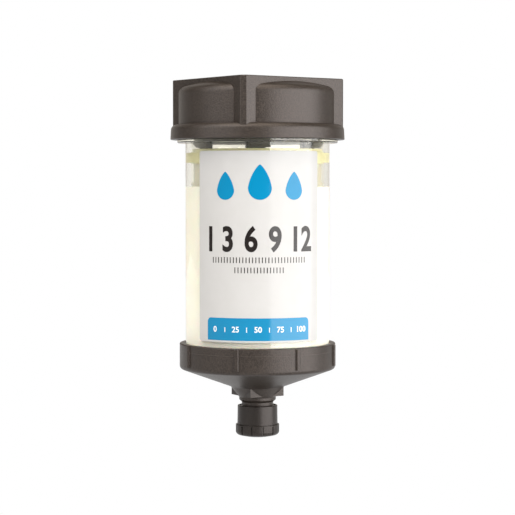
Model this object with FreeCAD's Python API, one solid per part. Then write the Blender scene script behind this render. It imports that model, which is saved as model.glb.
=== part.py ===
import FreeCAD, Part
import math
import os

# Automatic lubricator, in millimetres.
# A clear grease reservoir hangs between a funnel base, which screws into the machine at its
# threaded outlet, and a control unit in its neck, which sits under a square-headed dust cap.
# Gas from a small cell pushes the piston down, and the piston pushes the grease out.
# The origin is the centre of the outlet's mouth, +Z is up, and the front faces -Y.

V = FreeCAD.Vector
ORIGIN = V(0, 0, 0)
UP = V(0, 0, 1)

# Clearances and fits
TURNING_GAP = 0.4          # between the cap and the collar it turns around
SLIDING_GAP = 0.2          # between the piston's lands and the reservoir
SEAL_GAP = 0.08            # between the piston's seal and the reservoir
SEATING_GAP = 0.3          # between a piece and the bore that it is pushed into
PLUG_GAP = 0.15            # between the outlet plug and the threaded stem
SOFT_GAP = 0.1             # between the grease and the walls around it
SNAP_GAP = 0.15            # play of a snap lug under its shoulder
SWITCH_GAP = 0.1           # around each switch slider
CELL_GAP = 0.15            # around each battery and the gas cell
GASKET_GAP = 0.05          # above and below the cap's gasket

# Shared by all the moulded pieces
ROOT_BITE = 0.3            # how far a rib or a thread reaches into the wall that carries it
SOFT_EDGE = 0.3            # rounding of a thin rim

# Outlet stem and neck of the base
BORE_R = 3.2
STEM_MOUTH_R = 6.4
STEM_LENGTH = 9.75
STEM_TAPER = 1 / 32        # growth of the radius per length of a 1:16 pipe thread
STEM_CHAMFER = 0.5
GROOVE_DEPTH = 0.4         # below the stem's radius at its mouth
GROOVE_HEIGHT = 1.15
RING_REACH = 0.6           # beyond the stem's radius at its mouth
RING_HEIGHT = 0.95
RING_CHAMFER = 0.9
WRENCH_REACH = 0.25        # flats of the wrench square beyond the ring
WRENCH_TURN = -14.8
WRENCH_LIFT = 0.6          # underside of the square above the ring

# Funnel and band of the base
THROAT_SLOPE = 52.0
FUNNEL_SLOPE = 20.0
FUNNEL_WALL = 2.2
FUNNEL_BLEND = 2.5
THROAT_TOP_R = 10.2        # where the steep throat meets the shallow funnel, outside
THROAT_WALL = 3.6          # from there inwards to the same place inside
BAND_WALL = 2.0
LEDGE_RISE = 1.6           # seat of the gasket above the band's lower corner
BAND_EDGE = 1.4
RIM_EDGE = 0.4
RIB_COUNT = 8
RIB_WIDTH = 1.8
RIB_PROUD = 0.75
RIB_ROUND = 0.6
RIB_TURN = -15.0
LEDGE_DEPTH = 8.0          # from the band's rim down to the seat of the gasket
LEDGE_STEP = 0.5           # how far the ledge reaches inside the cylinder's bore

# Reservoir
CYL_R = 27.3
CYL_WALL = 2.0
CYL_LENGTH = 82.6          # from its lower end to the underside of the collar
BEAD_R = 0.5               # snap bead that holds the cylinder in the band
BEAD_RISE = 3.2            # height of the bead above the cylinder's end
COLLAR_REACH = 3.1         # beyond the cylinder
COLLAR_HEIGHT = 3.5
COLLAR_EDGE = 0.5
NECK_STEP = 0.4            # neck smaller than the cylinder, in radius
NECK_WALL = 2.5
NECK_HEIGHT = 6.7          # above the collar
SHOULDER_RISE = 0.2        # inner shoulder above the underside of the collar

# Cap thread, two starts
THREAD_PITCH = 3.0
THREAD_STARTS = 2
THREAD_DEPTH = 1.0
THREAD_ROOT = 1.5
THREAD_CREST = 0.7
THREAD_RISE = 1.5          # lowest turn above the collar
THREAD_TOP_GAP = 1.6       # end of a turn's middle line below the top of the neck

# Gaskets and seal rings
BASE_SEAL_HEIGHT = 1.0
BASE_SEAL_WIDTH = 1.9
CAP_SEAL_HEIGHT = 1.4
UNIT_SEAL_R = 0.9          # radius of the ring's own section
UNIT_SEAL_DROP = 5.5       # below the top of the neck
PISTON_SEAL_R = 1.1
GROOVE_SIDE_GAP = 0.2
GROOVE_BOTTOM_GAP = 0.08

# Label
LABEL_THICK = 0.12
LABEL_LEFT = -51.4         # angles seen from above, from the front towards +X
LABEL_RIGHT = 54.0
LABEL_BASE_GAP = 2.1       # above the band's rim
LABEL_TOP_GAP = 3.2        # below the collar
LABEL_CORNER = 1.0

# Piston
PISTON_TOP_GAP = 0.4       # below the control unit's lugs
PISTON_RIM_HEIGHT = 1.1
PISTON_RIM_STEP = 0.5      # rim smaller than the lands, in radius
PISTON_LAND_HEIGHT = 4.4
PISTON_BODY_STEP = 0.9     # body between the lands, likewise
PISTON_BODY_HEIGHT = 7.0
PISTON_FOOT_HEIGHT = 1.5
PISTON_WALL = 2.8
PISTON_FLOOR = 2.1
PISTON_NOSE_R = 7.0
PISTON_SHELF = 1.5         # flat ring between the lower land and the cone of the nose
PISTON_HUB_R = 4.0
PISTON_RIB_COUNT = 6
PISTON_RIB_THICK = 1.4
PISTON_RIB_DROP = 5.0      # top of the ribs below the piston's rim

# Control housing
HOUSING_WALL = 2.5
HOUSING_FLOOR = 2.0
FLANGE_HEIGHT = 1.5
LUG_COUNT = 6
LUG_TURN = 2.0
LUG_SPAN = 19.0
LUG_HEIGHT = 1.95
LUG_LENGTH = 1.7           # radial thickness of a lug's leg
LUG_HOOK = 0.9             # how far a lug reaches under the shoulder
LUG_LEAD = 1.2             # height of the lug's sloped lead-in
BOSS_CIRCLE_SHARE = 0.82   # shares are of the housing's inner radius
BOSS_R = 2.2
BOSS_COUNT = 3
POST_R = 1.8
POST_SHARES = [(-0.6019, 0.0231), (0.6019, 0.0231), (0.0, -0.8611)]
POCKET_WALL = 1.0
POCKET_HEIGHT = 5.0

# Cells and contacts
BATTERY_SHARE = 0.2685
BATTERY_HEIGHT = 10.8
BATTERY_PLACE_SHARES = [(-0.33, 0.5741), (0.33, 0.5741)]
BATTERY_POLE_STEP = 1.8    # pole smaller than the cell, in radius
BATTERY_POLE_HEIGHT = 0.4
BATTERY_EDGE = 0.4
CRIMP_WIDTH = 0.5
CRIMP_DEPTH = 0.3
SPRING_HEIGHT = 1.2
SPRING_STEP = 1.4          # spring disc smaller than the cell, in radius
SPRING_EYE_R = 1.0
STRIP_THICK = 0.3
LINK_STEP = 1.5            # link's edge inside the battery's pole
LINK_ROUND = 1.2
GAS_CELL_SHARE = 0.2685
GAS_CELL_HEIGHT = 5.4
GAS_LID_HEIGHT = 1.2
GAS_LID_STEP = 1.0
GAS_CELL_PLACE_SHARES = (0.0, -0.3241)
GAS_SOCKET_DEPTH = 1.0
GAS_SEAL_HEIGHT = 0.8
GAS_SEAL_WIDTH = 2.0
GAS_PORT_R = 1.2
GAS_HOLDER_HEIGHT = 3.0
CONTACT_WIDTH = 4.0
CONTACT_REACH = 3.0        # sideways run of the gas cell's contact

# Circuit board and switch
BOARD_THICK = 1.6
BOARD_CHORD_SHARE = 0.2315 # straight edge beside the batteries
BOARD_GAP = 0.3
SWITCH_COUNT = 5
SWITCH_PITCH = 2.54
SWITCH_MARGIN = 1.0        # added to the pitches to make the body's length
SWITCH_WIDTH = 6.2
SWITCH_HEIGHT = 4.1
SLIDER_WIDTH = 1.3
SLIDER_LENGTH = 1.9
SLIDER_DEPTH = 1.0
KNOB_SIZE = 0.9
KNOB_HEIGHT = 0.8
SLIDER_TRAVEL = 1.5

# Control cover and its screws
COVER_INSET = 2.9          # from the edge of the housing's flange
COVER_WALL = 1.8
COVER_TOP = 1.8
STUD_HEIGHT = 1.9          # stud under the cover that presses on the batteries' link
KNOB_DEPTH = 0.3           # top of the switch knobs below the cover's top
COVER_EDGE = 1.0
WINDOW_MARGIN = 0.3
WINDOW_BEVEL = 0.8
SCREW_R = 1.1
SCREW_GAP = 0.05
SCREW_HEAD_R = 2.0
SCREW_HEAD_HEIGHT = 1.4
SCREW_LENGTH = 8.0
SCREW_BEVEL = 0.4
SCREW_TIP_R = 0.3
SCREW_SLOT = 0.5
SCREW_SLOT_DEPTH = 0.6
HEAD_GAP = 0.2

# Dust cap
SKIRT_OVERLAP = 2.2        # how far the skirt hangs down around the collar
SKIRT_HEIGHT = 5.7
SKIRT_WALL = 2.2
SKIRT_DRAFT = 0.3
SKIRT_EDGE = 2.1
DRUM_WALL = 1.6
DRUM_EDGE = 2.8
DOME_SLOPE = 16.8
DOME_REACH = 11.3          # from the drum's side in to the flat top
CAP_HEADROOM = 4.1         # between the control unit's cover and the cap's ceiling
CAP_ROOF = 1.75
CEILING_EDGE = 1.0
DRUM_BULGE = 6.1           # how far the drum stands out through the square's flats
HEAD_BEVEL = 1.64          # cut from each flat at the square's corners
QUARTER = 45               # turn that puts a corner of a square to the front
HEAD_CORNER_ROUND = 0.6
HEAD_EDGE = 0.35
HEAD_TURN = -9.1

# Outlet plug
PLUG_WALL = 1.16           # beyond the stem's radius at its mouth
PLUG_DRAFT = 0.12
PLUG_RIM_GAP = 0.15        # below the neck groove
PLUG_RIM_EDGE = 0.2
PLUG_FLANGE_REACH = 0.71
PLUG_FLANGE_TOP = 3.1
PLUG_FLOOR = 1.35
PLUG_FOOT_STEP = 3.52      # flat foot smaller than the flange, in radius
PLUG_FOOT_RISE = 0.75
PLUG_EDGE = 1.5
NOTCH_COUNT = 12
NOTCH_WIDTH = 0.55
NOTCH_DEPTH = 0.45
NOTCH_TOP_GAP = 0.4        # below the flange's upper edge

# Heights and radii that follow from the sizes above
FUNNEL_TAN = math.tan(math.radians(FUNNEL_SLOPE))
THROAT_TAN = math.tan(math.radians(THROAT_SLOPE))
DOME_TAN = math.tan(math.radians(DOME_SLOPE))
GROOVE_R = STEM_MOUTH_R - GROOVE_DEPTH
RING_R = STEM_MOUTH_R + RING_REACH
WRENCH_SQUARE = 2 * (RING_R + WRENCH_REACH)
THROAT_MOUTH_R = THROAT_TOP_R - THROAT_WALL
STEM_TOP_R = STEM_MOUTH_R + STEM_LENGTH * STEM_TAPER
GROOVE_BOTTOM = STEM_LENGTH + STEM_TOP_R - GROOVE_R
GROOVE_TOP = GROOVE_BOTTOM + GROOVE_HEIGHT
RING_BOTTOM = GROOVE_TOP + RING_CHAMFER
RING_TOP = RING_BOTTOM + RING_HEIGHT
BAND_BORE_R = CYL_R + SEATING_GAP
BAND_R = BAND_BORE_R + BAND_WALL
THROAT_TOP = RING_TOP + (THROAT_TOP_R - RING_R) * THROAT_TAN
BAND_BOTTOM = THROAT_TOP + (BAND_R - THROAT_TOP_R) * FUNNEL_TAN
LEDGE = BAND_BOTTOM + LEDGE_RISE
RIM_TOP = LEDGE + LEDGE_DEPTH
CYL_BOTTOM = LEDGE + BASE_SEAL_HEIGHT
CYL_BORE_R = CYL_R - CYL_WALL
LEDGE_R = CYL_BORE_R - LEDGE_STEP
COLLAR_R = CYL_R + COLLAR_REACH
NECK_R = CYL_R - NECK_STEP
NECK_BORE_R = NECK_R - NECK_WALL
COLLAR_BOTTOM = CYL_BOTTOM + CYL_LENGTH
COLLAR_TOP = COLLAR_BOTTOM + COLLAR_HEIGHT
SHOULDER = COLLAR_BOTTOM + SHOULDER_RISE
NECK_TOP = COLLAR_TOP + NECK_HEIGHT
THREAD_LEAD = THREAD_PITCH * THREAD_STARTS
THREAD_BOTTOM = COLLAR_TOP + THREAD_RISE
THREAD_TURNS = (NECK_HEIGHT - THREAD_RISE - THREAD_TOP_GAP) / THREAD_LEAD
LABEL_BOTTOM = RIM_TOP + LABEL_BASE_GAP
LABEL_TOP = COLLAR_BOTTOM - LABEL_TOP_GAP

HOUSING_R = NECK_BORE_R - SEATING_GAP
HOUSING_BORE_R = HOUSING_R - HOUSING_WALL
HOUSING_BOTTOM = SHOULDER
FLOOR_TOP = HOUSING_BOTTOM + HOUSING_FLOOR
FLANGE_TOP = NECK_TOP + FLANGE_HEIGHT
LUG_TOP = SHOULDER - SNAP_GAP
LUG_BOTTOM = LUG_TOP - LUG_HEIGHT
BATTERY_BOTTOM = FLOOR_TOP + SPRING_HEIGHT
BATTERY_TOP = BATTERY_BOTTOM + BATTERY_HEIGHT
LINK_TOP = BATTERY_TOP + STRIP_THICK
COVER_CEILING = LINK_TOP + STUD_HEIGHT
COVER_ROOF = COVER_CEILING + COVER_TOP
COVER_R = NECK_R - COVER_INSET
SWITCH_TOP = COVER_ROOF - KNOB_DEPTH - KNOB_HEIGHT
BOARD_TOP = SWITCH_TOP - SWITCH_HEIGHT
BOARD_BOTTOM = BOARD_TOP - BOARD_THICK
GAS_SOCKET = FLOOR_TOP - GAS_SOCKET_DEPTH
GAS_CELL_BOTTOM = GAS_SOCKET + GAS_SEAL_HEIGHT
GAS_CELL_TOP = GAS_CELL_BOTTOM + GAS_CELL_HEIGHT
BATTERY_R = BATTERY_SHARE * HOUSING_BORE_R
BATTERY_POLE_R = BATTERY_R - BATTERY_POLE_STEP
LINK_WIDTH = 2 * (BATTERY_POLE_R - LINK_STEP)
SPRING_R = BATTERY_R - SPRING_STEP
GAS_CELL_R = GAS_CELL_SHARE * HOUSING_BORE_R
BOARD_CHORD = BOARD_CHORD_SHARE * HOUSING_BORE_R
BOSS_CIRCLE_R = BOSS_CIRCLE_SHARE * HOUSING_BORE_R
POST_PLACES = [(x * HOUSING_BORE_R, y * HOUSING_BORE_R) for x, y in POST_SHARES]
BATTERY_PLACES = [(x * HOUSING_BORE_R, y * HOUSING_BORE_R) for x, y in BATTERY_PLACE_SHARES]
GAS_CELL_PLACE = tuple(share * HOUSING_BORE_R for share in GAS_CELL_PLACE_SHARES)

PISTON_TOP = LUG_BOTTOM - PISTON_TOP_GAP
PISTON_LAND_TOP = PISTON_TOP - PISTON_RIM_HEIGHT
PISTON_LAND_BOTTOM = PISTON_LAND_TOP - PISTON_LAND_HEIGHT
PISTON_FOOT_TOP = PISTON_LAND_BOTTOM - PISTON_BODY_HEIGHT
PISTON_BOTTOM = PISTON_FOOT_TOP - PISTON_FOOT_HEIGHT
PISTON_LAND_R = CYL_BORE_R - SLIDING_GAP
PISTON_RIM_R = PISTON_LAND_R - PISTON_RIM_STEP
PISTON_BODY_R = PISTON_LAND_R - PISTON_BODY_STEP
PISTON_BORE_R = PISTON_BODY_R - PISTON_WALL
PISTON_SEAL_Z = (PISTON_LAND_TOP + PISTON_LAND_BOTTOM) / 2
PISTON_CONE_R = PISTON_LAND_R - PISTON_SHELF
PISTON_NOSE = PISTON_BOTTOM - (PISTON_CONE_R - PISTON_NOSE_R) * FUNNEL_TAN

SKIRT_BOTTOM = COLLAR_BOTTOM + COLLAR_HEIGHT - SKIRT_OVERLAP
SKIRT_TOP = SKIRT_BOTTOM + SKIRT_HEIGHT
CAP_CEILING = COVER_ROOF + CAP_HEADROOM
CAP_TOP = CAP_CEILING + CAP_ROOF
SKIRT_BORE_R = COLLAR_R + TURNING_GAP
SKIRT_R = SKIRT_BORE_R + SKIRT_WALL
CAP_STEP = COLLAR_TOP + CAP_SEAL_HEIGHT + 2 * GASKET_GAP
CAP_BORE_R = NECK_R + THREAD_DEPTH + TURNING_GAP
DRUM_R = CAP_BORE_R + DRUM_WALL
DOME_TOP_R = DRUM_R - DOME_REACH
HEAD_HALF = DRUM_R - DRUM_BULGE
PLUG_TOP = GROOVE_BOTTOM - PLUG_RIM_GAP
PLUG_INSIDE = -PLUG_GAP
PLUG_BOTTOM = PLUG_INSIDE - PLUG_FLOOR
PLUG_R = STEM_MOUTH_R + PLUG_WALL
PLUG_FLANGE_R = PLUG_R + PLUG_FLANGE_REACH
PLUG_FOOT_R = PLUG_FLANGE_R - PLUG_FOOT_STEP


def rounded_wire(corners, place):
    """Closed wire through 2-D corners. A corner's third number is its rounding radius."""
    points = [V(corner[0], corner[1], 0) for corner in corners]
    arcs = []
    for i, point in enumerate(points):
        radius = corners[i][2] if len(corners[i]) > 2 else 0
        if radius == 0:
            arcs.append((point, None, point))
            continue
        back = (points[i - 1] - point).normalize()
        ahead = (points[(i + 1) % len(points)] - point).normalize()
        half = back.getAngle(ahead) / 2
        reach = radius / math.tan(half)
        centre = point + (back + ahead).normalize() * (radius / math.sin(half))
        middle = centre + (point - centre).normalize() * radius
        arcs.append((point + back * reach, middle, point + ahead * reach))
    edges = []
    for i, (start, middle, end) in enumerate(arcs):
        if middle is not None:
            edges.append(Part.Arc(place(start), place(middle), place(end)).toShape())
        following = arcs[(i + 1) % len(arcs)][0]
        if end.distanceToPoint(following) > 1e-6:
            edges.append(Part.makeLine(place(end), place(following)))
    return Part.Wire(edges)


def revolved(corners, sweep=360):
    """Solid of revolution about the Z axis from (radius, height) corners, centred on the front."""
    wire = rounded_wire(corners, lambda p: V(p.x, 0, p.y))
    solid = Part.Face(wire).revolve(ORIGIN, UP, sweep)
    solid.rotate(ORIGIN, UP, -90 - sweep / 2)
    return solid


def prism(corners, bottom, height):
    """Upright prism from (x, y) corners."""
    wire = rounded_wire(corners, lambda p: V(p.x, p.y, bottom))
    return Part.Face(wire).extrude(V(0, 0, height))


def cylinder(radius, bottom, top, place=(0, 0)):
    return Part.makeCylinder(radius, top - bottom, V(place[0], place[1], bottom))


def ring(inner, outer, bottom, top, place=(0, 0)):
    return cylinder(outer, bottom, top, place).cut(cylinder(inner, bottom, top, place))


def block(x, y, bottom, top, place=(0, 0)):
    corner = V(place[0] - x / 2, place[1] - y / 2, bottom)
    return Part.makeBox(x, y, top - bottom, corner)


def turned(shape, angle):
    """Copy of a shape turned about the Z axis."""
    copy = shape.copy()
    copy.rotate(ORIGIN, UP, angle)
    return copy


def turned_copies(shape, count, first=0):
    return [turned(shape, first + i * 360 / count) for i in range(count)]


def moved(shape, place):
    copy = shape.copy()
    copy.translate(V(place[0], place[1], 0))
    return copy


def polar(radius, angle):
    """(x, y) at an angle from the front, positive towards +X."""
    a = math.radians(angle)
    return (radius * math.sin(a), -radius * math.cos(a))


def thread_ridge(root_r, depth, outward, start_z, turns):
    """One start of a trapezoid thread, as a helical sweep that bites into its wall."""
    side = 1 if outward else -1
    helix = Part.makeHelix(THREAD_LEAD, THREAD_LEAD * turns, root_r)
    flank = (THREAD_ROOT - THREAD_CREST) / 2 / depth
    inside, crest = root_r - side * ROOT_BITE, root_r + side * depth
    foot, tip = THREAD_ROOT / 2 + flank * ROOT_BITE, THREAD_CREST / 2
    corners = [(inside, -foot), (crest, -tip), (crest, tip), (inside, foot)]
    profile = rounded_wire(corners, lambda p: V(p.x, 0, p.y))
    ridge = Part.Wire(helix).makePipeShell([profile], True, True)
    ridge.translate(V(0, 0, start_z))
    return ridge


def seal_groove(depth_r, outer_r, middle, half_height):
    """Ring-shaped cutter for a seal's groove in an outer wall."""
    reach = outer_r + 1
    return ring(depth_r, reach, middle - half_height, middle + half_height)


def funnel_line(radius):
    """Height of the funnel's outer cone at a radius."""
    return THROAT_TOP + (radius - THROAT_TOP_R) * FUNNEL_TAN


def funnel_inside(radius):
    """Height of the funnel's inner cone at a radius."""
    return funnel_line(radius) + FUNNEL_WALL / math.cos(math.radians(FUNNEL_SLOPE))


def throat_bottom():
    """Height where the inner throat narrows to the outlet bore."""
    return funnel_inside(THROAT_MOUTH_R) - (THROAT_MOUTH_R - BORE_R) * THROAT_TAN


def base_funnel():
    """Band, funnel, wrench square and threaded stem, moulded in one piece."""
    outside = [(BORE_R, 0), (STEM_MOUTH_R - STEM_CHAMFER, 0),
               (STEM_MOUTH_R + STEM_CHAMFER * STEM_TAPER, STEM_CHAMFER),
               (STEM_TOP_R, STEM_LENGTH), (GROOVE_R, GROOVE_BOTTOM), (GROOVE_R, GROOVE_TOP),
               (RING_R, RING_BOTTOM), (RING_R, RING_TOP), (THROAT_TOP_R, THROAT_TOP, FUNNEL_BLEND),
               (BAND_R, BAND_BOTTOM, BAND_EDGE), (BAND_R, RIM_TOP, RIM_EDGE)]
    bead_z = CYL_BOTTOM + BEAD_RISE
    bead_out = BAND_BORE_R + BEAD_R
    inside = [(BAND_BORE_R, RIM_TOP), (BAND_BORE_R, bead_z + 2 * BEAD_R), (bead_out, bead_z + BEAD_R),
              (bead_out, bead_z - BEAD_R), (BAND_BORE_R, bead_z - 2 * BEAD_R), (BAND_BORE_R, LEDGE),
              (LEDGE_R, LEDGE), (LEDGE_R, funnel_inside(LEDGE_R)),
              (THROAT_MOUTH_R, funnel_inside(THROAT_MOUTH_R)), (BORE_R, throat_bottom())]
    body = revolved(outside + inside)
    square_bottom = RING_TOP + WRENCH_LIFT
    square_top = funnel_line(WRENCH_SQUARE * math.sqrt(2) / 2)
    square = block(WRENCH_SQUARE, WRENCH_SQUARE, square_bottom, square_top)
    square = square.cut(cylinder(RING_R, square_bottom, square_top))
    square = turned(square, QUARTER + WRENCH_TURN)
    half, root, crest = RIB_WIDTH / 2, ROOT_BITE - BAND_R, -BAND_R - RIB_PROUD
    rib_bottom = BAND_BOTTOM + BAND_EDGE
    rib = prism([(-half, root), (-half, crest, RIB_ROUND), (half, crest, RIB_ROUND), (half, root)],
                rib_bottom, RIM_TOP - RIM_EDGE - rib_bottom)
    return body.fuse([square] + turned_copies(rib, RIB_COUNT, RIB_TURN)).removeSplitter()


def reservoir():
    """Clear cylinder with a snap bead, a collar and a threaded neck."""
    bead_z = CYL_BOTTOM + BEAD_RISE
    corners = [(CYL_BORE_R, CYL_BOTTOM), (CYL_R, CYL_BOTTOM, SOFT_EDGE), (CYL_R, bead_z - BEAD_R),
               (CYL_R + BEAD_R, bead_z), (CYL_R, bead_z + BEAD_R), (CYL_R, COLLAR_BOTTOM),
               (COLLAR_R, COLLAR_BOTTOM, COLLAR_EDGE), (COLLAR_R, COLLAR_TOP, COLLAR_EDGE),
               (NECK_R, COLLAR_TOP), (NECK_R, NECK_TOP), (NECK_BORE_R, NECK_TOP),
               (NECK_BORE_R, SHOULDER), (CYL_BORE_R, SHOULDER)]
    body = revolved(corners)
    ridge = thread_ridge(NECK_R, THREAD_DEPTH, True, THREAD_BOTTOM, THREAD_TURNS)
    return body.fuse(turned_copies(ridge, THREAD_STARTS)).removeSplitter()


def base_seal():
    """Flat gasket under the end of the cylinder."""
    return ring(CYL_R - BASE_SEAL_WIDTH, CYL_R, LEDGE, CYL_BOTTOM)


def label():
    """Sticker around the front of the cylinder, with rounded corners."""
    corners = [(CYL_R, LABEL_BOTTOM), (CYL_R + LABEL_THICK, LABEL_BOTTOM),
               (CYL_R + LABEL_THICK, LABEL_TOP), (CYL_R, LABEL_TOP)]
    sheet = revolved(corners, LABEL_RIGHT - LABEL_LEFT)
    sheet.rotate(ORIGIN, UP, (LABEL_RIGHT + LABEL_LEFT) / 2)
    corner_edges = [e for e in sheet.Edges if abs(e.Length - LABEL_THICK) < 1e-3]
    return sheet.makeFillet(LABEL_CORNER, corner_edges)


def grease_charge():
    """The full charge of grease, from the piston's nose down to the outlet."""
    side = CYL_BORE_R - SOFT_GAP
    rise = 2 * SOFT_GAP
    corners = [(0, rise), (BORE_R - SOFT_GAP, rise), (BORE_R - SOFT_GAP, throat_bottom() + rise),
               (THROAT_MOUTH_R - SOFT_GAP, funnel_inside(THROAT_MOUTH_R) + rise),
               (LEDGE_R - SOFT_GAP, funnel_inside(LEDGE_R) + rise), (LEDGE_R - SOFT_GAP, CYL_BOTTOM + rise),
               (side, CYL_BOTTOM + rise), (side, PISTON_BOTTOM - SOFT_GAP),
               (PISTON_CONE_R, PISTON_BOTTOM - SOFT_GAP), (PISTON_NOSE_R, PISTON_NOSE - SOFT_GAP),
               (0, PISTON_NOSE - SOFT_GAP)]
    return revolved(corners)


def piston():
    """Upward-opening cup with a seal land, a lower guide land, a coned nose and inner ribs."""
    floor_drop = PISTON_FLOOR / math.cos(math.radians(FUNNEL_SLOPE))
    cone_inside = PISTON_BOTTOM - (PISTON_CONE_R - PISTON_BORE_R) * FUNNEL_TAN + floor_drop
    hub_floor = PISTON_NOSE + floor_drop
    corners = [(0, PISTON_NOSE), (PISTON_NOSE_R, PISTON_NOSE), (PISTON_CONE_R, PISTON_BOTTOM),
               (PISTON_LAND_R, PISTON_BOTTOM), (PISTON_LAND_R, PISTON_FOOT_TOP),
               (PISTON_BODY_R, PISTON_FOOT_TOP), (PISTON_BODY_R, PISTON_LAND_BOTTOM),
               (PISTON_LAND_R, PISTON_LAND_BOTTOM), (PISTON_LAND_R, PISTON_LAND_TOP),
               (PISTON_RIM_R, PISTON_LAND_TOP), (PISTON_RIM_R, PISTON_TOP, SOFT_EDGE),
               (PISTON_BORE_R, PISTON_TOP, SOFT_EDGE), (PISTON_BORE_R, cone_inside),
               (PISTON_NOSE_R, hub_floor), (0, hub_floor)]
    body = revolved(corners)
    rib_top = PISTON_TOP - PISTON_RIB_DROP
    hub = cylinder(PISTON_HUB_R, PISTON_NOSE + PISTON_FLOOR, rib_top)
    reach = PISTON_BORE_R + ROOT_BITE
    rib = Part.makeBox(PISTON_RIB_THICK, reach, rib_top - PISTON_NOSE - PISTON_FLOOR,
                       V(-PISTON_RIB_THICK / 2, -reach, PISTON_NOSE + PISTON_FLOOR))
    inner_space = revolved([(0, hub_floor - ROOT_BITE), (PISTON_NOSE_R, hub_floor - ROOT_BITE),
                            (reach, cone_inside - ROOT_BITE), (reach, rib_top), (0, rib_top)])
    ribs = [r.common(inner_space) for r in turned_copies(rib, PISTON_RIB_COUNT)]
    groove_r = PISTON_LAND_R + SLIDING_GAP - SEAL_GAP - 2 * PISTON_SEAL_R - GROOVE_BOTTOM_GAP
    groove = seal_groove(groove_r, PISTON_LAND_R, PISTON_SEAL_Z, PISTON_SEAL_R + GROOVE_SIDE_GAP)
    return body.fuse([hub.common(inner_space)] + ribs).cut(groove).removeSplitter()


def seal_ring(outer_r, section_r, middle):
    """Rubber ring of round section."""
    return Part.makeTorus(outer_r - section_r, section_r, V(0, 0, middle), UP)


def boss_places():
    """The screw bosses: one at the back between the batteries, and two beside the switch."""
    return [polar(BOSS_CIRCLE_R, 180 + i * 360 / BOSS_COUNT) for i in range(BOSS_COUNT)]


def snap_lugs():
    """Hooks under the housing that catch below the shoulder in the reservoir's neck."""
    leg_r = HOUSING_R - LUG_LENGTH
    hook_r = HOUSING_R + LUG_HOOK
    corners = [(leg_r, LUG_BOTTOM), (HOUSING_R, LUG_BOTTOM), (hook_r, LUG_BOTTOM + LUG_LEAD),
               (hook_r, LUG_TOP), (HOUSING_R, LUG_TOP), (HOUSING_R, FLOOR_TOP), (leg_r, FLOOR_TOP)]
    return turned_copies(revolved(corners, LUG_SPAN), LUG_COUNT, LUG_TURN)


def control_housing():
    """Cup that closes the reservoir's neck and carries the cells, the board and the screws."""
    shell = revolved([(0, HOUSING_BOTTOM), (HOUSING_R, HOUSING_BOTTOM), (HOUSING_R, NECK_TOP),
                      (NECK_R, NECK_TOP), (NECK_R, FLANGE_TOP, SOFT_EDGE), (HOUSING_BORE_R, FLANGE_TOP),
                      (HOUSING_BORE_R, FLOOR_TOP), (0, FLOOR_TOP)])
    solids = snap_lugs()
    solids += [cylinder(BOSS_R, FLOOR_TOP, COVER_CEILING, place) for place in boss_places()]
    solids += [cylinder(POST_R, FLOOR_TOP, BOARD_BOTTOM, place) for place in POST_PLACES]
    pocket_r = BATTERY_R + CELL_GAP
    pocket_top = FLOOR_TOP + POCKET_HEIGHT
    solids += [cylinder(pocket_r + POCKET_WALL, FLOOR_TOP, pocket_top, place) for place in BATTERY_PLACES]
    holder_r = GAS_CELL_R + CELL_GAP
    solids.append(cylinder(holder_r + POCKET_WALL, FLOOR_TOP, FLOOR_TOP + GAS_HOLDER_HEIGHT, GAS_CELL_PLACE))
    cuts = [cylinder(pocket_r, FLOOR_TOP, pocket_top, place) for place in BATTERY_PLACES]
    cuts.append(cylinder(holder_r, GAS_SOCKET, FLOOR_TOP + GAS_HOLDER_HEIGHT, GAS_CELL_PLACE))
    cuts.append(cylinder(GAS_PORT_R, HOUSING_BOTTOM, GAS_SOCKET, GAS_CELL_PLACE))
    pilot_bottom = COVER_ROOF - SCREW_HEAD_HEIGHT - HEAD_GAP - SCREW_LENGTH - SCREW_GAP
    cuts += [cylinder(SCREW_R + SCREW_GAP, pilot_bottom, COVER_CEILING, place) for place in boss_places()]
    seal_r = NECK_BORE_R - SEAL_GAP
    groove_r = seal_r - 2 * UNIT_SEAL_R - GROOVE_BOTTOM_GAP
    cuts.append(seal_groove(groove_r, HOUSING_R, NECK_TOP - UNIT_SEAL_DROP, UNIT_SEAL_R + GROOVE_SIDE_GAP))
    return shell.fuse(solids).cut(cuts).removeSplitter()


def battery():
    """Small upright cell with bevelled edges, a crimp groove and a raised pole."""
    shoulder = BATTERY_TOP - BATTERY_POLE_HEIGHT
    groove_r = BATTERY_POLE_R + CRIMP_WIDTH
    groove = shoulder - CRIMP_DEPTH
    return revolved([(0, BATTERY_BOTTOM), (BATTERY_R - BATTERY_EDGE, BATTERY_BOTTOM),
                     (BATTERY_R, BATTERY_BOTTOM + BATTERY_EDGE), (BATTERY_R, shoulder - BATTERY_EDGE),
                     (BATTERY_R - BATTERY_EDGE, shoulder), (groove_r, shoulder), (groove_r, groove),
                     (BATTERY_POLE_R, groove), (BATTERY_POLE_R, BATTERY_TOP), (0, BATTERY_TOP)])


def battery_springs():
    """Coned spring discs under the two batteries."""
    disc = revolved([(SPRING_R, FLOOR_TOP), (SPRING_R, FLOOR_TOP + STRIP_THICK),
                     (SPRING_EYE_R, BATTERY_BOTTOM), (SPRING_EYE_R, BATTERY_BOTTOM - STRIP_THICK)])
    return Part.makeCompound([moved(disc, place) for place in BATTERY_PLACES])


def battery_link():
    """Metal strip that joins the poles of the two batteries."""
    left, right = BATTERY_PLACES
    middle = ((left[0] + right[0]) / 2, (left[1] + right[1]) / 2)
    length = right[0] - left[0] + LINK_WIDTH
    half, side = length / 2, LINK_WIDTH / 2
    corners = [(-half, -side, LINK_ROUND), (half, -side, LINK_ROUND),
               (half, side, LINK_ROUND), (-half, side, LINK_ROUND)]
    return moved(prism(corners, BATTERY_TOP, STRIP_THICK), middle)


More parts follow.
